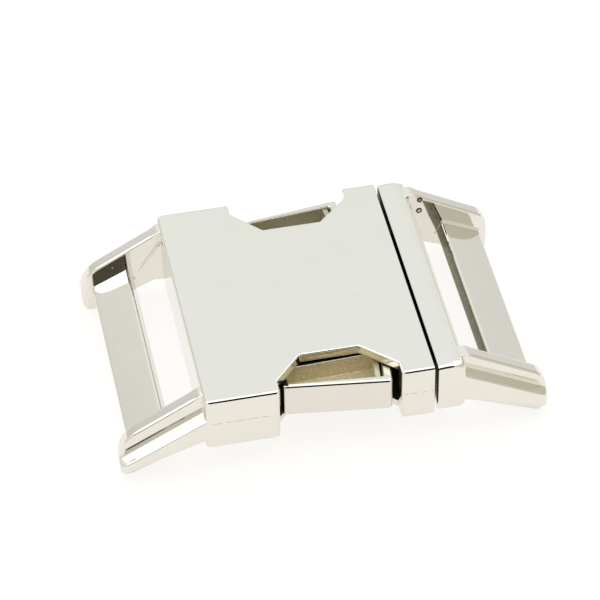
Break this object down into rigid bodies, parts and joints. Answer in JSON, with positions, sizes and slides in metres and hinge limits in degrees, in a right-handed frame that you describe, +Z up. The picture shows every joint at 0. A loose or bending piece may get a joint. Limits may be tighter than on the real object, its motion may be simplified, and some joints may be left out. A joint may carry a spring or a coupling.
{
  "type": "side-release webbing buckle",
  "caption": "Die-cast metal side-release buckle: a socket half and a plug half with two spring-loaded thumb levers, and a tilted crossbar at each end for flat webbing.",
  "frame": {"origin": "on the surface the buckle rests on, under the middle of its outline", "axes": "+X from the socket half to the plug half, +Y across the webbing, +Z up through the smooth top plate"},
  "size_m": [0.0772, 0.05, 0.017],
  "materials": {
    "nickel_casting": "polished nickel plate on a zinc die-casting",
    "nickel_lever": "nickel plate, brightly tumbled outside and duller in the pockets",
    "pin_steel": "ground steel pin",
    "spring_wire": "drawn spring wire"
  },
  "bodies": {
    "socket": {"socket_casting": "nickel_casting"},
    "plug": {"plug_casting": "nickel_casting", "near_pivot_pin": "pin_steel", "far_pivot_pin": "pin_steel", "near_spring": "spring_wire", "far_spring": "spring_wire"},
    "near_lever": {"near_lever": "nickel_lever"},
    "far_lever": {"far_lever": "nickel_lever"}
  },
  "joints": [
    {"name": "plug_play", "type": "slide", "parent": "socket", "child": "plug", "axis": [1, 0, 0], "range_m": [-0.0003, 0.001]},
    {"name": "near_lever_press", "type": "hinge", "parent": "plug", "child": "near_lever", "pos_m": [-0.01225, -0.0189, 0.0112], "axis": [0, 0, 1], "range_deg": [0, 7], "stiffness_Nm_per_rad": 0.8, "springref_deg": -6.88, "deforming": ["near_spring"]},
    {"name": "far_lever_press", "type": "hinge", "parent": "plug", "child": "far_lever", "pos_m": [-0.01225, 0.0189, 0.0112], "axis": [0, 0, -1], "range_deg": [0, 7], "stiffness_Nm_per_rad": 0.8, "springref_deg": -6.88, "deforming": ["far_spring"]}
  ]
}
